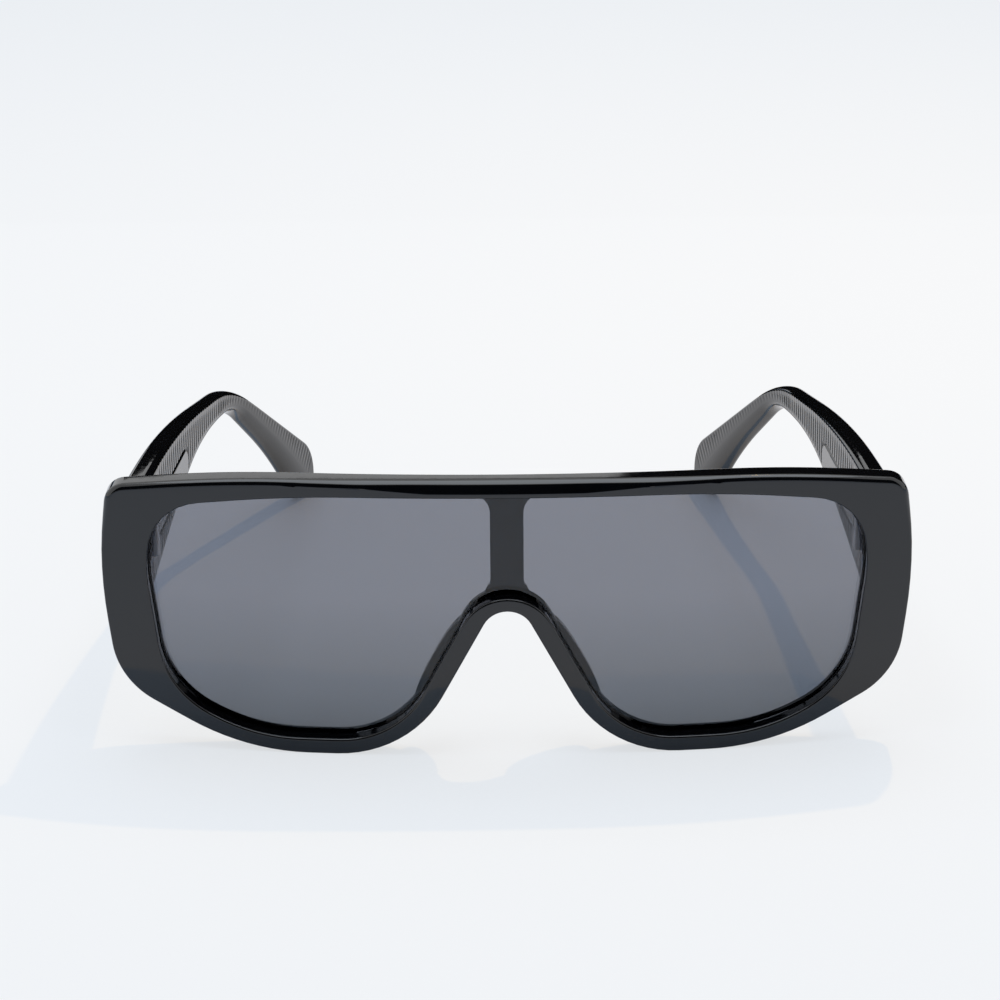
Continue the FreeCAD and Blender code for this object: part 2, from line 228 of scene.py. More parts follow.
@dataclass(frozen=True)
class SmokeLens:
    """Smoke-tinted clear plastic; its lower part is darker with painted shade that stands for the shaded
    floor showing through and mirrored in the lens.
    """

    name: str
    # upper is the lens's own smoke tint; lower is that tint darkened by painted shade.
    upper: Triple = (0.215, 0.225, 0.26)
    lower: Triple = (0.13, 0.145, 0.168)
    painted_shade_start: float = 0.004
    painted_shade_finish: float = 0.03
    smooth: float = 0.0
    worn: float = 0.02
    smear_scale: float = 55.0
    smear_detail: float = 4.0
    index: float = 1.5

    def material(self) -> Material:
        """Makes the finish's material.

        Returns:
            The material.
        """
        tree = NodeTree(self.name)
        tree.set(IOR=self.index, Transmission_Weight=1.0)
        axes = tree.add("ShaderNodeSeparateXYZ")
        tree.join(tree.place, axes.inputs["Vector"])
        # Painted shade: the tint darkens from the upper colour down to the lower one near the lens's foot.
        height = tree.spread(axes.outputs["Z"], 0.0, 1.0, self.painted_shade_start, self.painted_shade_finish)
        tree.feed(tree.ramp(height, self.lower, self.upper), "Base Color")
        smear = tree.noise(self.smear_scale, self.smear_detail)
        tree.feed(tree.spread(smear, self.smooth, self.worn), "Roughness")
        return tree.material


@dataclass(frozen=True)
class BrushedSteel:
    """Satin steel with drawn lines along one axis."""

    name: str
    dark: Triple = (0.42, 0.42, 0.43)
    pale: Triple = (0.62, 0.62, 0.63)
    smooth: float = 0.22
    rough: float = 0.38
    line_scale: float = 2600.0
    line_detail: float = 3.0
    line_stretch: Triple = (1.0, 1.0, 0.05)
    line_strength: float = 0.25
    line_height: float = 0.00001

    def material(self) -> Material:
        """Makes the finish's material.

        Returns:
            The material.
        """
        tree = NodeTree(self.name)
        tree.set(Metallic=1.0)
        lines = tree.noise(self.line_scale, self.line_detail, self.line_stretch)
        tree.feed(tree.ramp(lines, self.dark, self.pale), "Base Color")
        tree.feed(tree.spread(lines, self.smooth, self.rough), "Roughness")
        tree.bump(lines, self.line_strength, self.line_height)
        return tree.material


@dataclass(frozen=True)
class Corner:
    """A rounded corner of an outline in the plane of the front.

    Attributes:
        point: Where the two sides would meet.
        reach: How far from there the rounding starts.
        steps: Segments of the rounding.
        cuts: Cuts of the straight side that follows.
    """

    point: Vector
    reach: float
    steps: int
    cuts: int


def eased(value: float) -> float:
    """Runs softly from 0 to 1 while a value does."""
    share = min(max(value, 0.0), 1.0)
    return share * share * (3 - 2 * share)


def blend(start: float, finish: float, share: float) -> float:
    """Runs from one value to another while a share runs from 0 to 1."""
    return start + (finish - start) * share


def wrapped(face_y: float, depth: float, x: float) -> float:
    """Place along Y of a point at a depth behind the wrapped face and a place across it."""
    return face_y + WRAP_RADIUS - math.sqrt((WRAP_RADIUS - depth) ** 2 - x ** 2)


def shifted(corners: Sequence[Vector], widths: Sequence[float]) -> list[Vector]:
    """Moves each side of a clockwise outline inwards.

    Args:
        corners: The outline's corners.
        widths: How far each side moves, from the side after the first corner.

    Returns:
        The moved corners.
    """
    moved = []
    for place, corner in enumerate(corners):
        last_run = (corner - corners[place - 1]).normalized()
        next_run = (corners[(place + 1) % len(corners)] - corner).normalized()
        last_start = corner + Vector((last_run.z, 0.0, -last_run.x)) * widths[place - 1]
        next_start = corner + Vector((next_run.z, 0.0, -next_run.x)) * widths[place]
        meeting = intersect_line_line(last_start, last_start + last_run, next_start, next_start + next_run)
        moved.append(meeting[0])
    return moved


def draw_outline(bm: BMesh, corners: Sequence[Corner], depth: float) -> list[Chain]:
    """Draws a closed outline with rounded corners.

    Args:
        bm: Mesh that gets the outline.
        corners: The outline's corners in order.
        depth: Its place along Y.

    Returns:
        Its edges, as one chain for each rounding and then one for each straight side.
    """
    shift = BACK * depth
    arcs = []
    chains = []
    for place, corner in enumerate(corners):
        to_last = (corners[place - 1].point - corner.point).normalized()
        to_next = (corners[(place + 1) % len(corners)].point - corner.point).normalized()
        half = to_last.angle(to_next) / 2
        middle = (to_last + to_next).normalized() * (corner.reach / math.cos(half))
        ends = [corner.point + run * corner.reach + shift for run in (to_last, to_next)]
        drawn_verts = set(bm.verts)
        drawn_edges = set(bm.edges)
        bmesh.ops.spin(bm, geom=[bm.verts.new(ends[0])], cent=corner.point + middle + shift,
                       axis=to_next.cross(to_last), dvec=(0, 0, 0), angle=math.pi - 2 * half,
                       steps=corner.steps, use_duplicate=False)
        arc = [vert for vert in bm.verts if vert not in drawn_verts]
        arcs.append([min(arc, key=lambda vert: (vert.co - end).length) for end in ends])
        chains.append([edge for edge in bm.edges if edge not in drawn_edges])
    runs = [bm.edges.new((arc[1], arcs[(place + 1) % len(arcs)][0])) for place, arc in enumerate(arcs)]
    for run, corner in zip(runs, corners):
        drawn_edges = set(bm.edges)
        bmesh.ops.bisect_edges(bm, edges=[run], cuts=corner.cuts)
        chains.append([run] + [edge for edge in bm.edges if edge not in drawn_edges])
    return chains


def joined(chains: Iterable[Chain]) -> Chain:
    """All the edges of some chains."""
    return [edge for chain in chains for edge in chain]


def bridge(bm: BMesh, first: Sequence[Chain], second: Sequence[Chain]) -> list[BMFace]:
    """Spans two outlines with faces, chain by chain, and gives the faces."""
    return [face for pair in zip(first, second)
            for face in bmesh.ops.bridge_loops(bm, edges=joined(pair))["faces"]]


def drawn_on(bm: BMesh, loop: Chain) -> Chain:
    """Starts a wall from a loop of edges.

    Args:
        bm: The mesh.
        loop: Edges to draw on.

    Returns:
        The loop's twin, which lies on it until its vertices are moved.
    """
    new = bmesh.ops.extrude_edge_only(bm, edges=loop)["geom"]
    verts = [item for item in new if isinstance(item, BMVert)]
    return [item for item in new if isinstance(item, BMEdge)
            and all(vert in verts for vert in item.verts)]


def round_off(bm: BMesh, edges: Chain, width: float, segments: int) -> set[BMVert]:
    """Rounds edges off.

    Args:
        bm: The mesh.
        edges: Edges to round.
        width: How far the rounding reaches on each side.
        segments: Its segments.

    Returns:
        Vertices of the rounding.
    """
    made = bmesh.ops.bevel(bm, geom=edges, offset=width, offset_type="OFFSET", segments=segments,
                           profile=0.5, affect="EDGES", clamp_overlap=False, material=-1)
    return {vert for part in made["faces"] for vert in part.verts}


def cut_through(bm: BMesh, place: Vector, normal: Vector, trim: bool = False) -> None:
    """Cuts a mesh along a plane, and trims off what lies behind the plane if asked to."""
    bmesh.ops.bisect_plane(bm, geom=bm.verts[:] + bm.edges[:] + bm.faces[:], plane_co=place,
                           plane_no=normal, clear_inner=trim)


def close_holes(bm: BMesh) -> None:
    """Fills the holes of a mesh with faces."""
    bmesh.ops.holes_fill(bm, edges=[edge for edge in bm.edges if edge.is_boundary], sides=0)


def as_object(bm: BMesh, name: str) -> Object:
    """Turns a mesh in the making into an object of the scene.

    Args:
        bm: The mesh, which is freed.
        name: The object's name.

    Returns:
        The object.
    """
    mesh = bpy.data.meshes.new(name)
    bm.to_mesh(mesh)
    bm.free()
    made = bpy.data.objects.new(name, mesh)
    bpy.context.scene.collection.objects.link(made)
    return made


def as_piece(bm: BMesh, name: str, sharp_degrees: float = 40.0) -> Object:
    """Turns a mesh in the making into a smooth-shaded piece.

    Args:
        bm: The mesh, which is freed.
        name: The piece's name.
        sharp_degrees: Edges that turn by more than this stay sharp.

    Returns:
        The piece.
    """
    bmesh.ops.recalc_face_normals(bm, faces=bm.faces)
    piece = as_object(bm, name)
    piece.data.shade_smooth()
    piece.data.set_sharp_from_angle(angle=math.radians(sharp_degrees))
    weighted = piece.modifiers.new("Even shading", "WEIGHTED_NORMAL")
    weighted.keep_sharp = True
    return piece


def dress(piece: Object, material: Material) -> None:
    """Gives a piece or node one material all over."""
    piece.data.materials.clear()
    piece.data.materials.append(material)


def place_piece(piece: Object, material: Material, body: str, slot: str, *nodes: str) -> None:
    """Dresses a finished piece and seats it on its body.

    Args:
        piece: The piece.
        material: Its material.
        body: Body that carries it.
        slot: The record's slot for its finish; not used.
        *nodes: Nodes that it stands for.
    """
    dress(piece, material)
    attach(piece, body)
    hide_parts(*nodes)
    LOG.info("%s: %d faces on %s", piece.name, len(piece.data.polygons), body)


@dataclass
class Front:
    """The wrapped front with its lens, its nose pads and the fixed half of the hinges.

    Attributes:
        corner_shares: Right-hand corners as shares of half width and height.
        turn_reaches: How far from each corner, and from the arch's peak, the front's rounding starts.
        pocket_reaches: The same for the pocket.
        rims: Rim widths outside the pocket, in the corners' order.
        bar_ring_shares: Shares of the bar's length, from its top, at which its rings lie.
    """

    half_width: float = 0.0734
    height: float = 0.0535
    thickness: float = 0.00497
    bridge_height: float = 0.01945
    corner_shares: Pairs = ((0.681, 1.0), (0.981, 0.951), (1.009, 0.654),
                            (0.975, 0.238), (0.659, 0.0), (0.248, 0.0))
    turn_reaches: Row = (0.01221, 0.00327, 0.01057, 0.00723, 0.0116, 0.01326, 0.00899)
    pocket_reaches: Row = (0.01127, 0.00859, 0.00379, 0.00883, 0.00865, 0.01058, 0.01665)
    rims: Row = (0.0044, 0.0087, 0.0087, 0.0033, 0.00295, 0.00335)
    brow_rim: float = 0.0031
    arc_steps: tuple[int, ...] = (10, 8, 6, 14, 10, 12, 14)
    run_cuts: tuple[int, ...] = (6, 3, 7, 8, 10, 12)
    brow_cuts: int = 51
    facet_drop: float = 0.0027
    facet_curve: float = 0.568
    facet_degrees: float = 21.0
    facet_rounding: float = 0.00012
    facet_segments: int = 2
    facet_half_length: float = 0.044
    face_shares: Pair = (0.3, 0.56)
    front_rounding: float = 0.00115
    front_segments: int = 7
    side_rounding_share: float = 0.3
    rounding_levels: Pair = (0.037, 0.048)
    mouth_rounding: float = 0.00048
    mouth_segments: int = 4
    rear_rounding: float = 0.0008
    rear_segments: int = 4
    pocket_depth: float = 0.0025
    seat_depth: float = 0.004
    seat_lip: float = 0.0004
    bar_half_width: float = 0.003
    bar_top_flare: float = 0.0034
    bar_foot_flare: float = 0.0012
    bar_ring_shares: Row = (0.01, 0.035, 0.07, 0.115, 0.17, 0.215, 0.5, 0.86, 0.91, 0.955, 0.985)
    lens_thickness: float = 0.0015
    lens_clearance: float = 0.00005
    lens_strips: int = 42
    pad_half_sizes: Triple = (0.0024, 0.0052, 0.0105)
    pad_fullness: float = 2.5
    pad_segments: int = 40
    pad_sharp_degrees: float = 80.0
    pad_drop: float = 0.0172
    pad_offset: float = 0.0024
    hinge_nodes: tuple[str, ...] = ("front_hinge", "hinge_screw")
    face_y: float = field(init=False)

    def __post_init__(self) -> None:
        """Takes the front's place from the frame."""
        self.face_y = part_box("front_frame")[0].y

    @property
    def arch_peak(self) -> float:
        """Height of the arch's peak before it is rounded."""
        return self.height - self.bridge_height

    def right_points(self) -> list[Vector]:
        """Corners of the front's right half, from the brow round to the lobe."""
        return [Vector((self.half_width * width, 0.0, self.height * height))
                for width, height in self.corner_shares]

    def front_points(self) -> list[Vector]:
        """Corners of the whole front.

        Returns:
            The corners, clockwise as the face shows them.
        """
        right = self.right_points()
        left = [Vector((-point.x, 0.0, point.z)) for point in reversed(right)]
        return right + [Vector((0.0, 0.0, self.arch_peak))] + left

    def corners(self, points: Sequence[Vector], reaches: Sequence[float]) -> list[Corner]:
        """Joins corner points, roundings and cuts.

        Args:
            points: Corners of an outline of the front.
            reaches: Reaches of the right half's roundings and the arch's.

        Returns:
            The outline's corners.
        """
        whole_reaches = list(reaches) + list(reversed(reaches[:-1]))
        steps = list(self.arc_steps) + list(reversed(self.arc_steps[:-1]))
        cuts = list(self.run_cuts) + list(reversed(self.run_cuts)) + [self.brow_cuts]
        return [Corner(*values) for values in zip(points, whole_reaches, steps, cuts)]

    def outer_corners(self) -> list[Corner]:
        """The front's own outline."""
        return self.corners(self.front_points(), self.turn_reaches)

    def pocket_corners(self, inset: float = 0.0) -> list[Corner]:
        """The pocket's outline.

        Args:
            inset: How far inside the pocket's wall it runs.

        Returns:
            Its corners.
        """
        widths = [rim + inset for rim in self.rims]
        points = shifted(self.front_points(), widths + widths[::-1] + [self.brow_rim + inset])
        return self.corners(points, self.pocket_reaches)

    def wrap(self, bm: BMesh) -> None:
        """Bends a mesh that is flat in X and Z round the front's upright axis and seats it."""
        for vert in bm.verts:
            vert.co.y = wrapped(self.face_y, vert.co.y, vert.co.x)

    def crease(self, x: float) -> float:
        """Height at which the brow's facet starts, at a place across the front."""
        return self.height - self.facet_drop + x ** 2 / self.facet_curve

    def shape_brow(self, bm: BMesh, outer: Chain, face: Sequence[BMFace]) -> Chain:
        """Puts the flat facet along the middle of the brow.

        Args:
            bm: The flat front.
            outer: Edges of its outline.
            face: Faces between the outline and the pocket.

        Returns:
            The edges of the facet's crease, run on round the whole face.
        """
        outline = {vert for edge in outer for vert in edge.verts}
        spokes = dict.fromkeys(edge for part in face for edge in part.edges
                               if sum(vert in outline for vert in edge.verts) == 1)
        ring = []
        for spoke in spokes:
            top = next(vert for vert in spoke.verts if vert in outline)
            foot = spoke.other_vert(top)
            rise = top.co.z - foot.co.z
            low, share = self.face_shares
            if self.on_brow(top.co):
                share = min(max((self.crease(top.co.x) - foot.co.z) / rise, low), share)
            ring.append(bmesh.utils.edge_split(spoke, foot, share)[1])
        slope = math.tan(math.radians(self.facet_degrees))
        for vert in outline:
            if self.on_brow(vert.co):
                vert.co.y += max(vert.co.z - self.crease(vert.co.x), 0.0) * slope
        return bmesh.ops.connect_verts(bm, verts=ring)["edges"]

    def on_brow(self, place: Vector) -> bool:
        """True of a place on the outline's straight brow."""
        return place.z > self.height - self.facet_drop / 2 and abs(place.x) < self.facet_half_length

    def build_frame(self) -> Object:
        """Builds the front with its pocket, windows and bar.

        Returns:
            The front's piece.
        """
        bm = bmesh.new()
        pocket = self.pocket_corners()
        lip = self.pocket_corners(self.seat_lip)
        loops = [draw_outline(bm, corners, depth) for corners, depth in (
            (self.outer_corners(), 0.0), (pocket, 0.0), (pocket, self.seat_depth),
            (lip, self.seat_depth), (lip, self.thickness), (self.outer_corners(), self.thickness))]
        outer, mouth, outer_rear = (joined(loops[place]) for place in (0, 1, 5))
        face = bridge(bm, loops[0], loops[1])
        for place in range(1, len(loops)):
            bridge(bm, loops[place], loops[(place + 1) % len(loops)])
        crease = self.shape_brow(bm, outer, face)
        self.add_bar(bm)
        round_off(bm, crease, self.facet_rounding, self.facet_segments)
        edge = [vert.co.copy() for vert in dict.fromkeys(vert for part in outer for vert in part.verts)]
        self.narrow_rounding(round_off(bm, outer, self.front_rounding, self.front_segments), edge)
        round_off(bm, mouth, self.mouth_rounding, self.mouth_segments)
        round_off(bm, outer_rear, self.rear_rounding, self.rear_segments)
        self.wrap(bm)
        return as_piece(bm, "front_shell")

    def narrow_rounding(self, rounded: Iterable[BMVert], edge: Sequence[Vector]) -> None:
        """Narrows the face's outer rounding from the brow down to the sides.

        Args:
            rounded: Vertices of the rounding.
            edge: Places along the edge before it was rounded.
        """
        tree = KDTree(len(edge))
        for number, place in enumerate(edge):
            tree.insert(place, number)
        tree.balance()
        low, high = self.rounding_levels
        for vert in rounded:
            place = tree.find(vert.co)[0]
            share = eased((place.z - low) / (high - low))
            vert.co = place.lerp(vert.co, blend(self.side_rounding_share, 1.0, share))

    def open_wall(self, bm: BMesh, low: float, high: float, flare: float) -> Chain:
        """Opens the windows' wall where the bar meets it.

        Args:
            bm: The flat front.
            low: Height that the opening lies above.
            high: Height that it lies below.
            flare: How much the bar widens on each side there.

        Returns:
            The opening's edges.
        """
        wall = []
        for part in bm.faces:
            middle = part.calc_center_median()
            in_wall = all(vert.co.y > self.seat_depth - self.lens_clearance for vert in part.verts)
            depth = max(vert.co.y for vert in part.verts) - min(vert.co.y for vert in part.verts)
            if (in_wall and depth > self.lens_clearance and low < middle.z < high
                    and abs(middle.x) < self.bar_half_width + flare):
                wall.append(part)
        edges = dict.fromkeys(edge for part in wall for edge in part.edges)
        opening = [edge for edge in edges if sum(part in wall for part in edge.link_faces) == 1]
        bmesh.ops.delete(bm, geom=wall, context="FACES")
        return opening

    def add_bar(self, bm: BMesh) -> None:
        """Joins the brow and the arch by the bar behind the lens.

        Args:
            bm: The flat front.
        """
        middle = self.arch_peak + self.lens_thickness
        foot = self.open_wall(bm, middle / 2, middle, self.bar_foot_flare)
        loop = self.open_wall(bm, middle, self.height - self.facet_drop, self.bar_top_flare)
        top = max(vert.co.z for edge in loop for vert in edge.verts)
        length = top - max(vert.co.z for edge in foot for vert in edge.verts)
        for share in self.bar_ring_shares:
            loop = drawn_on(bm, loop)
            verts = {vert for edge in loop for vert in edge.verts}
            half = max(vert.co.x for vert in verts)
            flare = 0.0
            for reach, gap in ((self.bar_top_flare, share * length),
                               (self.bar_foot_flare, (1 - share) * length)):
                if gap < reach:
                    flare += reach - math.sqrt(reach ** 2 - (reach - gap) ** 2)
            for vert in verts:
                vert.co.x *= (self.bar_half_width + flare) / half
                vert.co.z = top - share * length
        bmesh.ops.bridge_loops(bm, edges=loop + foot)

    def build_lens(self) -> Object:
        """Builds the one lens that lies on the seat across both windows.

        Returns:
            The lens's piece.
        """
        bm = bmesh.new()
        edges = joined(draw_outline(bm, self.pocket_corners(self.lens_clearance), self.pocket_depth))
        bmesh.ops.edgenet_fill(bm, edges=edges)
        for strip in range(1, self.lens_strips):
            across = self.half_width * (2 * strip / self.lens_strips - 1)
            cut_through(bm, ACROSS * across, ACROSS)
        rear = bmesh.ops.extrude_face_region(bm, geom=bm.faces[:])["geom"]
        rear_verts = [item for item in rear if isinstance(item, BMVert)]
        bmesh.ops.translate(bm, verts=rear_verts, vec=BACK * self.lens_thickness)
        self.wrap(bm)
        return as_piece(bm, "shield_lens_clear")

    def build_pad(self, side: Side) -> Object:
        """Builds a rounded nose pad on the rear of the arch's flank.

        Args:
            side: The pad's side.

        Returns:
            The pad's piece.
        """
        bm = bmesh.new()
        bmesh.ops.create_uvsphere(bm, u_segments=self.pad_segments, v_segments=self.pad_segments, radius=1.0)
        for vert in bm.verts:
            fullness = sum(abs(share) ** self.pad_fullness for share in vert.co)
            vert.co /= fullness ** (1 / self.pad_fullness)
        bmesh.ops.scale(bm, verts=bm.verts, vec=self.pad_half_sizes)
        flank = self.right_points()[-1] - UP * self.arch_peak
        lean = math.atan2(flank.x, -flank.z)
        bmesh.ops.rotate(bm, verts=bm.verts, matrix=Matrix.Rotation(-lean * side.value, 3, "Y"))
        pad_x = self.pad_drop * flank.x / -flank.z + self.pad_offset
        bmesh.ops.translate(bm, verts=bm.verts, vec=(side.value * pad_x, self.face_y + self.thickness,
                                                     self.arch_peak - self.pad_drop))
        rear_y = wrapped(self.face_y, self.thickness - self.lens_clearance, pad_x)
        seat = Vector((side.value * pad_x, rear_y, 0.0))
        cut_through(bm, seat, BACK * (self.face_y + WRAP_RADIUS) - seat, True)
        close_holes(bm)
        return as_piece(bm, "nose_pad_" + side.word + "_smooth", self.pad_sharp_degrees)

    def build(self, plastic: GlossPlastic, pad: GlossPlastic, lens: SmokeLens, steel: BrushedSteel) -> None:
        """Builds and dresses the front.

        Args:
            plastic: Finish of the front.
            pad: Finish of the nose pads.
            lens: Finish of the lens.
            steel: Finish of the hinges.
        """
        place_piece(self.build_frame(), plastic.material(), "front", "frame_black", "front_frame")
        place_piece(self.build_lens(), lens.material(), "front", "lens_smoke", "shield_lens")
        pad_material = pad.material()
        steel_material = steel.material()
        for side in Side:
            place_piece(self.build_pad(side), pad_material, "front", "pad_black", "nose_pad_" + side.word)
            for node in self.hinge_nodes:
                dress(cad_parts[node + "_" + side.word], steel_material)


def soft_line(points: Sequence[Vector], reaches: Sequence[float], steps: int = 24) -> list[Vector]:
    """Draws an open line that turns softly at its inner points.

    Args:
        points: Corners of the line.
        reaches: How far from each inner corner its turn starts.
        steps: Points of each turn.

    Returns:
        Points along the line.
    """
    line = [points[0]]
    for last, here, following, reach in zip(points, points[1:], points[2:], reaches):
        turn = (here - last).angle(following - here)
        pull = math.tan(turn / 4) / math.tan(turn / 2) * 4 / 3
        start = here + (last - here).normalized() * reach
        finish = here + (following - here).normalized() * reach
        line += interpolate_bezier(start, start.lerp(here, pull), finish.lerp(here, pull), finish, steps)
    return line + [points[-1]]


def crossing(line: Sequence[Vector], place: Vector, along: Vector) -> Vector:
    """Finds where a line passes through a plane.

    Args:
        line: Points along the line.
        place: A point of the plane.
        along: The plane's normal.

    Returns:
        The crossing that lies nearest to the place.
    """
    found = []
    for start, finish in zip(line, line[1:]):
        before = (start - place).dot(along)
        after = (finish - place).dot(along)
        if before * after <= 0 and before != after:
            found.append(start.lerp(finish, before / (before - after)))
    return min(found, key=lambda point: (point - place).length)


@dataclass(frozen=True)
class Section:
    """A cross-section of a temple with its rounded edges.

    Attributes:
        wall: Its width.
        height: Its height.
        crest: Radius of the inner side's upper edge.
        shoulder: Radius of the outer side's upper edge.
        lower: Radius of the outer side's lower edge.
        foot_across: How far the rounding of the inner side's lower edge reaches across.
        foot_rise: How far it reaches up.
    """

    wall: float
    height: float
    crest: float
    shoulder: float
    lower: float
    foot_across: float
    foot_rise: float

    def places(self, rows: Sequence[float], steps: int) -> list[Pair]:
        """Draws the cross-section.

        Args:
            rows: Shares of the inner side's flat height.
            steps: Segments of each rounding.

        Returns:
            Places across from the inner side and up from the foot.
        """
        found = [(0.0, blend(self.foot_rise, self.height - self.crest, share)) for share in rows]
        turns = ((self.crest, self.height - self.crest, self.crest, self.crest, 180),
                 (self.wall - self.shoulder, self.height - self.shoulder, self.shoulder, self.shoulder, 90),
                 (self.wall - self.lower, self.lower, self.lower, self.lower, 0),
                 (self.foot_across, self.foot_rise, self.foot_across, self.foot_rise, -90))
        for across, rise, width, depth, start in turns:
            for step in range(steps + 1):
                turn = math.radians(start - 90 * step / steps)
                found.append((across + width * math.cos(turn), rise + depth * math.sin(turn)))
        return found


@dataclass
class Temple:
    """One fluted temple and its half of the hinge.

    Attributes:
        plan: Corners of the outer side from above: half span and distance behind the face.
        walls: Wall at distances behind the face.
        side_corners: Corners of the side outline from the root's top round to its foot: distance and height.
        middle_corners: Corners of the line that the flutes are set along.
        hinge_levels: Heights between which the root makes room for the hinge.
        hinge_ends: Distances at which the room for the barrels and the leaf's seat end.
        table_shift: Share of a step that keeps the tables' first place off the lines' ends.
        turn_share: Largest share of a cross-section that the rounding of a plain edge takes.
        lower_share: The same of the width, for the outer side's lower edge.
        crest_fade: Share of the crest's radius over which the flutes stay away.
        full: Length of the middle line up to the tip.
    """

    side: Side
    table_count: int = 560
    table_shift: float = 0.01
    plan: Pairs = ((0.0704, 0.0), (0.0668, 0.052), (0.0622, 0.094), (0.04566, 0.14))
    plan_reaches: Row = (0.0254, 0.0095)
    walls: Pairs = ((0.0046, 0.0), (0.0042, 0.052), (0.0038, 0.094), (0.0038, 0.14))
    side_corners: Pairs = (
        (0.0, 0.0498), (0.04402, 0.0485), (0.0974, 0.0387), (0.136, 0.0106), (0.136, -0.00583),
        (0.1184, 0.0159), (0.099, 0.0332), (0.06504, 0.0374), (0.0, 0.0254))
    side_reaches: Row = (0.0264, 0.0091, 0.0051, 0.00905, 0.0094, 0.0062, 0.0154)
    middle_corners: Pairs = (
        (0.0, 0.041), (0.023, 0.041), (0.052, 0.0404), (0.094, 0.0364), (0.131, 0.009), (0.14, 0.00234))
    middle_reaches: Row = (0.005, 0.00725, 0.0105, 0.001)
    butt_depth: float = 0.00515
    root_distance: float = 0.0115
    hinge_levels: Pair = (0.0352, 0.0434)
    hinge_ends: Pair = (0.01445, 0.0219)
    room_x: float = 0.066
    seat_depth: float = 0.00004
    seat_rings: int = 6
    room_ring_gap: float = 0.0005
    wall_step: float = 0.00005
    merge_distance: float = 0.000001
    even_distance: float = 0.03
    row_shares: tuple[int, int, int] = (12, 24, 9)
    edge_radius: float = 0.0011
    crest_radius: float = 0.0018
    hook_crest_radius: float = 0.0007
    shoulder_radius: float = 0.0019
    shoulder_run: Pair = (0.03, 0.085)
    edge_steps: int = 6
    turn_share: float = 0.46
    lower_share: float = 0.26
    crest_fade: float = 0.5
    hook_edge_shares: Pair = (0.72, 0.42)
    hook_start: float = 0.086
    hook_run: float = 0.022
    hook_lead: float = 0.016
    flute_pitch: float = 0.0021
    hook_flute_pitch: float = 0.00145
    flute_depth: float = 0.00027
    hook_flute_depth: float = 0.00013
    flute_border: float = 0.0012
    flute_fades: Pair = (0.001, 0.003)
    flute_start: float = 0.023
    flute_end_gap: float = 0.005
    flute_rings: int = 10
    panel_end: float = 0.054
    panel_level: float = 0.0384
    panel_radius: float = 0.0027
    groove_width: float = 0.0008
    groove_depth: float = 0.00045
    tip_gaps: Row = (0.0014, 0.0011, 0.0008, 0.00055, 0.00035, 0.0002, 0.0001, 0.00004)
    face_y: float = field(init=False)
    table_step: float = field(init=False)
    outer_table: list[float] = field(init=False)
    wall_table: list[float] = field(init=False)
    middle: list[Vector] = field(init=False)
    top: list[Vector] = field(init=False)
    bottom: list[Vector] = field(init=False)
    full: float = field(init=False)

    def __post_init__(self) -> None:
        """Draws the lines that the temple follows."""
        self.face_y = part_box("front_frame")[0].y
        plan = soft_line([Vector((x, y, 0.0)) for x, y in self.plan], self.plan_reaches)
        walls = [Vector((wall, y, 0.0)) for wall, y in self.walls]
        self.table_step = self.plan[-1][1] / self.table_count
        places = [BACK * (self.table_step * (number + self.table_shift))
                  for number in range(self.table_count)]
        self.outer_table = [crossing(plan, place, BACK).x for place in places]
        self.wall_table = [crossing(walls, place, BACK).x for place in places]
        outline = soft_line([Vector((0.0, y, z)) for y, z in self.side_corners], self.side_reaches)
        self.middle = soft_line([Vector((0.0, y, z)) for y, z in self.middle_corners], self.middle_reaches)
        hook = (self.middle[-1] - self.middle[-2]).normalized()
        tip = max(outline, key=hook.dot)
        turn = outline.index(tip)
        self.top = outline[:turn + 1]
        self.bottom = outline[turn:]
        rest = (self.middle[-1] - crossing(self.middle, tip, hook)).length
        runs = zip(self.middle, self.middle[1:])
        self.full = sum((finish - start).length for start, finish in runs) - rest

    def looked_up(self, table: Sequence[float], distance: float) -> float:
        """Looks a value up in a table.

        Args:
            table: The table.
            distance: Distance behind the face.

        Returns:
            The value there.
        """
        place = distance / self.table_step
        number = min(max(int(place), 0), len(table) - 2)
        return blend(table[number], table[number + 1], place - number)

    def at_length(self, length: float) -> Vector:
        """Finds a point of the middle line.

        Args:
            length: Length along the line.

        Returns:
            The point there.
        """
        for start, finish in zip(self.middle, self.middle[1:]):
            run = (finish - start).length
            if length <= run:
                break
            length -= run
        return start.lerp(finish, length / run)

    def lengths(self) -> list[float]:
        """Sets the rings out.

        Returns:
            Lengths along the middle line at which they lie.
        """
        room_end, seat_end = self.hinge_ends
        found = [self.root_distance, room_end - self.room_ring_gap, room_end, room_end + self.wall_step]
        shares = [(number + 1) / self.seat_rings for number in range(self.seat_rings)]
        found += [blend(room_end, seat_end, share) for share in shares]
        found += [seat_end + self.wall_step]
        step = self.flute_pitch / self.flute_rings
        count = int((self.full - self.tip_gaps[0] - self.flute_start) / step)
        found += [self.flute_start + number * step for number in range(count)]
        return found + [self.full - gap for gap in self.tip_gaps]

    def rows(self, low: float, high: float, distance: float) -> list[float]:
        """Shares of the inner side's flat height at which its rows lie.

        Args:
            low: Height of the flat's foot.
            high: Height of its top.
            distance: Distance behind the face.

        Returns:
            The shares, which keep to the hinge's levels near the root and are even further back.
        """
        below, between, above = self.row_shares
        foot, head = self.hinge_levels
        spans = ((low, foot - self.wall_step, below), (foot, head, between),
                 (head + self.wall_step, high, above))
        places = [blend(start, finish, number / count) for start, finish, count in spans
                  for number in range(count + 1)]
        share = eased((distance - self.hinge_ends[1]) / (self.even_distance - self.hinge_ends[1]))
        last = len(places) - 1
        return [blend((places[number] - low) / (high - low), number / last, share)
                for number in range(1, last)]

    def hooked(self, distance: float) -> float:
        """Runs from 0 on the straight part to 1 on the hook, by the distance behind the face."""
        return eased((distance - self.hook_start) / self.hook_run)

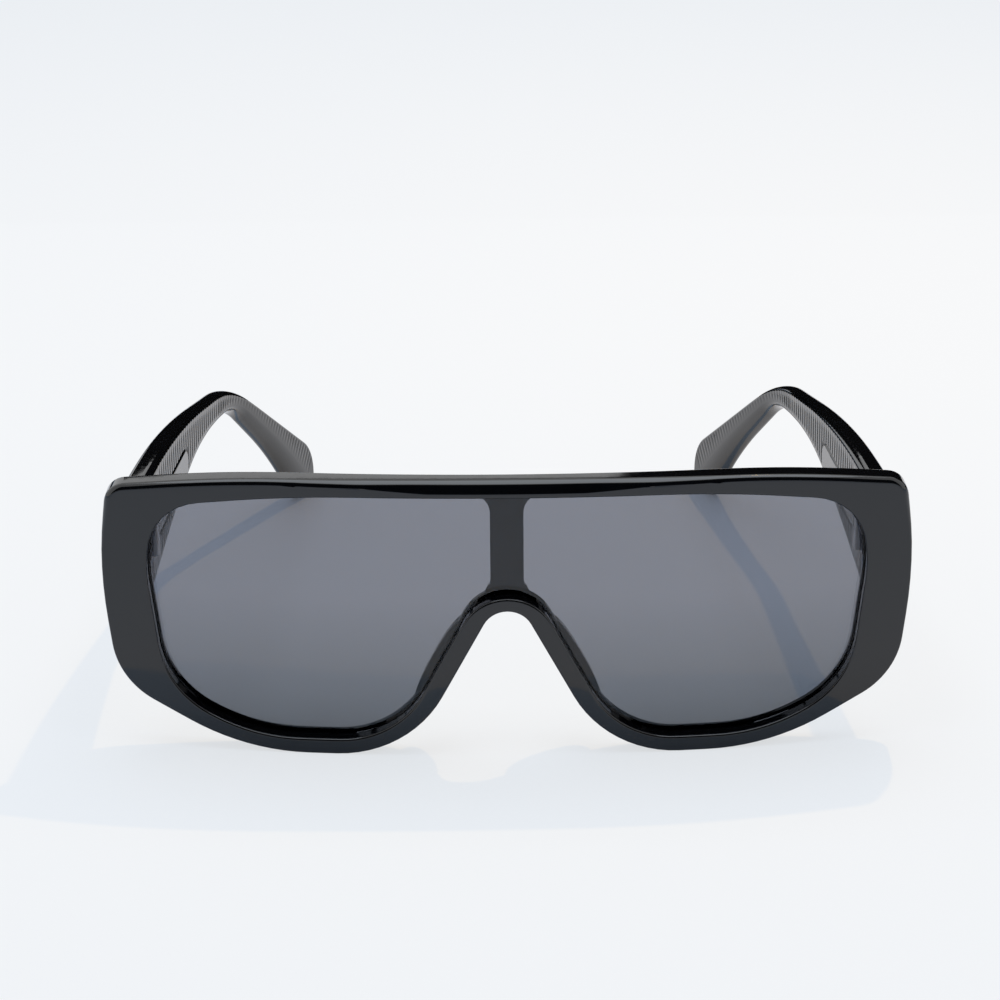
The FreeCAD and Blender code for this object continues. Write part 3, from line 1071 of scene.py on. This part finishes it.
    def section(self, wall: float, height: float, distance: float) -> Section:
        """Sizes the rounded edges of a cross-section.

        Args:
            wall: Its width.
            height: Its height.
            distance: Its distance behind the face.

        Returns:
            The cross-section, with a wider shoulder near the bend, and on the hook a tighter crest
            and a fuller foot.
        """
        most = self.turn_share * min(wall, height)
        edge = min(self.edge_radius, most)
        hooked = self.hooked(distance)
        start, finish = self.shoulder_run
        shoulder = blend(self.edge_radius, self.shoulder_radius, eased((distance - start) / (finish - start)))
        across, rise = self.hook_edge_shares
        return Section(wall, height,
                       crest=min(blend(self.crest_radius, self.hook_crest_radius, hooked), most),
                       shoulder=min(shoulder, wall / 2, height / 2),
                       lower=min(edge, self.lower_share * wall),
                       foot_across=blend(edge, across * wall, self.hooked(distance + self.hook_lead)),
                       foot_rise=blend(edge, rise * height, hooked))

    def cut(self, length: float, place: Vector) -> float:
        """How far the inner side lies inside its plain face.

        Args:
            length: Length along the middle line.
            place: The place in side view.

        Returns:
            Depth of the flutes, of the leaf's seat or of the room for the barrels.
        """
        room_end, seat_end = self.hinge_ends
        if length <= seat_end:
            if not self.hinge_levels[0] <= place.z <= self.hinge_levels[1]:
                return 0.0
            inner = self.looked_up(self.outer_table, place.y) - self.looked_up(self.wall_table, place.y)
            return self.room_x - inner if length <= room_end else self.seat_depth
        if not self.flute_start < length < self.full - self.flute_end_gap:
            return 0.0
        past = max(place.y - self.panel_end + self.panel_radius, 0.0)
        gap = (math.hypot(past, place.z - self.panel_level) - self.panel_radius) / self.groove_width
        depth = blend(self.flute_depth, self.hook_flute_depth, self.hooked(place.y))
        turns = (min(length, self.hook_start) - self.flute_start) / self.flute_pitch
        turns += max(length - self.hook_start, 0.0) / self.hook_flute_pitch
        groove = math.sin(math.pi * min(max(gap, 0.0), 1.0))
        return max(depth * (1 - abs(math.sin(math.pi * turns))) ** 2 * eased(gap), self.groove_depth * groove)

    def ring(self, length: float) -> list[Vector]:
        """Places one ring of the temple's surface, on the right-hand side.

        Args:
            length: Length along the middle line.

        Returns:
            The ring's points from the foot of the inner side.
        """
        middle = self.at_length(length)
        ahead = self.at_length(length + self.edge_radius)
        along = (ahead - self.at_length(length - self.edge_radius)).normalized()
        high = crossing(self.top, middle, along)
        low = crossing(self.bottom, middle, along)
        rise = (high - low).normalized()
        height = (high - low).length
        wall = self.looked_up(self.wall_table, middle.y)
        gap = min((self.full - length) / self.edge_radius, 1.0)
        narrow = math.sqrt(1 - (1 - gap) ** 2)
        rows = self.rows(low.z + self.edge_radius, high.z - self.crest_radius, middle.y)
        section = self.section(wall * narrow, height, middle.y)
        foot = max(section.foot_rise, self.flute_border)
        run = blend(*self.flute_fades, self.hooked(middle.y))
        points = []
        for number, (across, up) in enumerate(section.places(rows, self.edge_steps)):
            place = low + rise * up
            if number < len(rows) + self.edge_steps // 2:
                fade = eased((up - foot) / run) * eased((height - up) / section.crest - self.crest_fade)
                across += self.cut(length, place) * fade
            share = (across + wall * (1 - narrow) / 2) / wall
            x = (self.looked_up(self.outer_table, place.y)
                 - self.looked_up(self.wall_table, place.y) * (1 - share))
            y = place.y + self.face_y
            if length == self.root_distance:
                y = wrapped(self.face_y, self.butt_depth, x)
            points.append(Vector((x, y, place.z)))
        return points

    def build_arm(self) -> Object:
        """Rolls a grid up into the temple, ring by ring.

        Returns:
            The temple's piece.
        """
        rings = [self.ring(length) for length in self.lengths()]
        around = len(rings[0])
        bm = bmesh.new()
        bmesh.ops.create_grid(bm, x_segments=len(rings) - 1, y_segments=around, size=1.0)
        for vert in bm.verts:
            number = round((vert.co.x + 1) / 2 * (len(rings) - 1))
            place = round((vert.co.y + 1) / 2 * around) % around
            vert.co = rings[number][place]
            vert.co.x *= self.side.value
        bmesh.ops.remove_doubles(bm, verts=bm.verts, dist=self.merge_distance)
        close_holes(bm)
        return as_piece(bm, "temple_arm_" + self.side.word)

    def build(self, plastic: Material, steel: Material) -> None:
        """Builds and dresses the temple.

        Args:
            plastic: Material of the temple.
            steel: Material of the hinge.
        """
        word = self.side.word
        place_piece(self.build_arm(), plastic, word + "_temple", "temple_black", "temple_" + word)
        dress(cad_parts["temple_hinge_" + word], steel)


def lay_sheet(name: str, centre: Triple, width: float, height: float, lean_degrees: float) -> Object:
    """Makes a flat sheet for the studio.

    Args:
        name: Its name.
        centre: Its middle.
        width: Its size along X.
        height: Its other size.
        lean_degrees: How far it is tipped up about X.

    Returns:
        The sheet.
    """
    bm = bmesh.new()
    bmesh.ops.create_grid(bm, x_segments=1, y_segments=1, size=0.5)
    bmesh.ops.scale(bm, verts=bm.verts, vec=(width, height, 1.0))
    bmesh.ops.rotate(bm, verts=bm.verts, matrix=Matrix.Rotation(math.radians(lean_degrees), 3, "X"))
    bmesh.ops.translate(bm, verts=bm.verts, vec=centre)
    return as_object(bm, name)


@dataclass
class Card:
    """A card outside the picture that the gloss reflects and nothing else shows."""

    name: str
    centre: Triple
    width: float
    height: float
    lean_degrees: float = 90.0
    colour: Triple = (0.004, 0.004, 0.004)

    def build(self) -> None:
        """Stands the card up square to Y, or leans it back from there."""
        card = lay_sheet(self.name, self.centre, self.width, self.height, self.lean_degrees)
        tree = NodeTree(self.name)
        tree.set(Base_Color=(*self.colour, 1.0), Roughness=1.0, Specular_IOR_Level=0.0)
        dress(card, tree.material)
        card.visible_camera = False
        card.visible_diffuse = False
        card.visible_shadow = False


@dataclass
class Studio:
    """Floor, lights, cards and camera."""

    floor_size: float = 60.0
    floor_roughness: float = 0.7
    floor_specular: float = 0.2
    floor_colour: Triple = (0.9, 0.9, 0.9)
    floor_glow: Triple = (0.93, 0.945, 0.955)
    glow_share: float = 0.72
    lens_glow_share: float = 0.3
    backdrop: Triple = (0.93, 0.94, 0.95)
    ambient: Triple = (0.5, 0.7, 1.0)
    ambient_strength: float = 0.48
    box_place: Triple = (0.0, 0.15, 1.1)
    box_size: float = 1.1
    box_power: float = 8.0
    box_colour: Triple = (0.83, 0.91, 1.0)
    key_place: Triple = (0.14, 0.2, 0.528)
    key_colour: Triple = (1.0, 0.64, 0.22)
    key_power: float = 4.6
    key_radius: float = 0.005
    camera_place: Triple = (-0.0018, -0.52566, 0.2281)
    camera_pitch: float = 21.23
    camera_yaw: float = -0.08
    camera_roll: float = 0.48
    focal_length: float = 100.0
    clip_start: float = 0.01
    cards: tuple[Card, ...] = (
        Card("camera_side_card", (0.0, -1.0, 1.1), 3.6, 2.0),
        Card("back_right_card", (1.28, 1.2, 0.575), 2.4, 1.15),
        Card("back_low_card", (-0.15, 1.2, 0.22), 0.46, 0.44),
        Card("back_middle_card", (-0.21, 1.2, 0.65), 0.58, 0.18),
        Card("back_floor_card", (0.45, 0.75, 0.001), 2.5, 0.9, 0.0),
    )

    def build_floor(self) -> None:
        """Lays the pale floor, whose own faint glow keeps its shadows light."""
        floor = lay_sheet("floor", (0.0, 0.0, 0.0), self.floor_size, self.floor_size, 0.0)
        tree = NodeTree("pale_table")
        tree.set(Base_Color=(*self.floor_colour, 1.0), Roughness=self.floor_roughness,
                 Specular_IOR_Level=self.floor_specular)
        glow = tree.add("ShaderNodeEmission", Color=(*self.floor_glow, 1.0), Strength=1.0)
        path = tree.add("ShaderNodeLightPath")
        share = tree.add("ShaderNodeMath")
        share.operation = "MAXIMUM"
        rays = (("Is Camera Ray", self.glow_share), ("Is Transmission Ray", self.lens_glow_share))
        for number, (ray, part) in enumerate(rays):
            tree.join(tree.spread(path.outputs[ray], 0.0, part, 0.0, 1.0), share.inputs[number])
        mix = tree.add("ShaderNodeMixShader")
        tree.join(share.outputs[0], mix.inputs[0])
        tree.join(tree.surface.outputs[0], mix.inputs[1])
        tree.join(glow.outputs[0], mix.inputs[2])
        tree.join(mix.outputs[0], tree.tree.nodes["Material Output"].inputs["Surface"])
        dress(floor, tree.material)

    def build_world(self) -> None:
        """Sets the soft light from all round and the pale background."""
        world = bpy.data.worlds.new("studio")
        bpy.context.scene.world = world
        world.use_nodes = True
        nodes = world.node_tree.nodes
        links = world.node_tree.links
        light = nodes["Background"]
        light.inputs["Color"].default_value = (*self.ambient, 1.0)
        light.inputs["Strength"].default_value = self.ambient_strength
        seen = nodes.new("ShaderNodeBackground")
        seen.inputs["Color"].default_value = (*self.backdrop, 1.0)
        path = nodes.new("ShaderNodeLightPath")
        total = path.outputs["Is Camera Ray"]
        for name in ("Is Glossy Ray", "Is Transmission Ray"):
            either = nodes.new("ShaderNodeMath")
            either.operation = "MAXIMUM"
            links.new(total, either.inputs[0])
            links.new(path.outputs[name], either.inputs[1])
            total = either.outputs[0]
        mix = nodes.new("ShaderNodeMixShader")
        links.new(total, mix.inputs[0])
        links.new(light.outputs[0], mix.inputs[1])
        links.new(seen.outputs[0], mix.inputs[2])
        links.new(mix.outputs[0], nodes["World Output"].inputs["Surface"])

    def build_lamps(self) -> None:
        """Hangs the soft box overhead and sets the low warm key behind on the right."""
        box = bpy.data.lights.new("soft_box", "AREA")
        box.size = self.box_size
        key = bpy.data.lights.new("key", "POINT")
        key.shadow_soft_size = self.key_radius
        for light, power, colour, place in ((box, self.box_power, self.box_colour, self.box_place),
                                            (key, self.key_power, self.key_colour, self.key_place)):
            light.energy = power
            light.color = colour
            lamp = bpy.data.objects.new(light.name, light)
            lamp.location = place
            bpy.context.scene.collection.objects.link(lamp)

    def build_camera(self) -> None:
        """Sets the camera where the photograph was taken from."""
        data = bpy.data.cameras.new("camera")
        data.lens = self.focal_length
        data.clip_start = self.clip_start
        camera = bpy.data.objects.new("camera", data)
        turn = Matrix.Rotation(math.radians(self.camera_yaw), 4, "Z")
        tilt = Matrix.Rotation(math.radians(90.0 - self.camera_pitch), 4, "X")
        roll = Matrix.Rotation(math.radians(-self.camera_roll), 4, "Z")
        camera.matrix_world = Matrix.Translation(self.camera_place) @ turn @ tilt @ roll
        bpy.context.scene.collection.objects.link(camera)
        bpy.context.scene.camera = camera

    def build(self) -> None:
        """Builds the whole studio."""
        self.build_floor()
        self.build_world()
        self.build_lamps()
        self.build_camera()
        for card in self.cards:
            card.build()
        bpy.context.scene.view_settings.view_transform = "Standard"
        LOG.info("studio: floor, soft box, key, %d cards and camera", len(self.cards))


def main() -> None:
    """Builds the sunglasses, piece by piece, and the studio round them."""
    logging.basicConfig(level=logging.INFO, format="%(name)s: %(message)s")
    steel = BrushedSteel("hinge_steel")
    Front().build(GlossPlastic("frame_black"), GlossPlastic("pad_black"), SmokeLens("lens_smoke"), steel)
    plastic = GlossPlastic("temple_black").material()
    temple_steel = BrushedSteel("temple_hinge_steel").material()
    for side in Side:
        Temple(side).build(plastic, temple_steel)
    Studio().build()


if __name__ == "__main__":
    main()
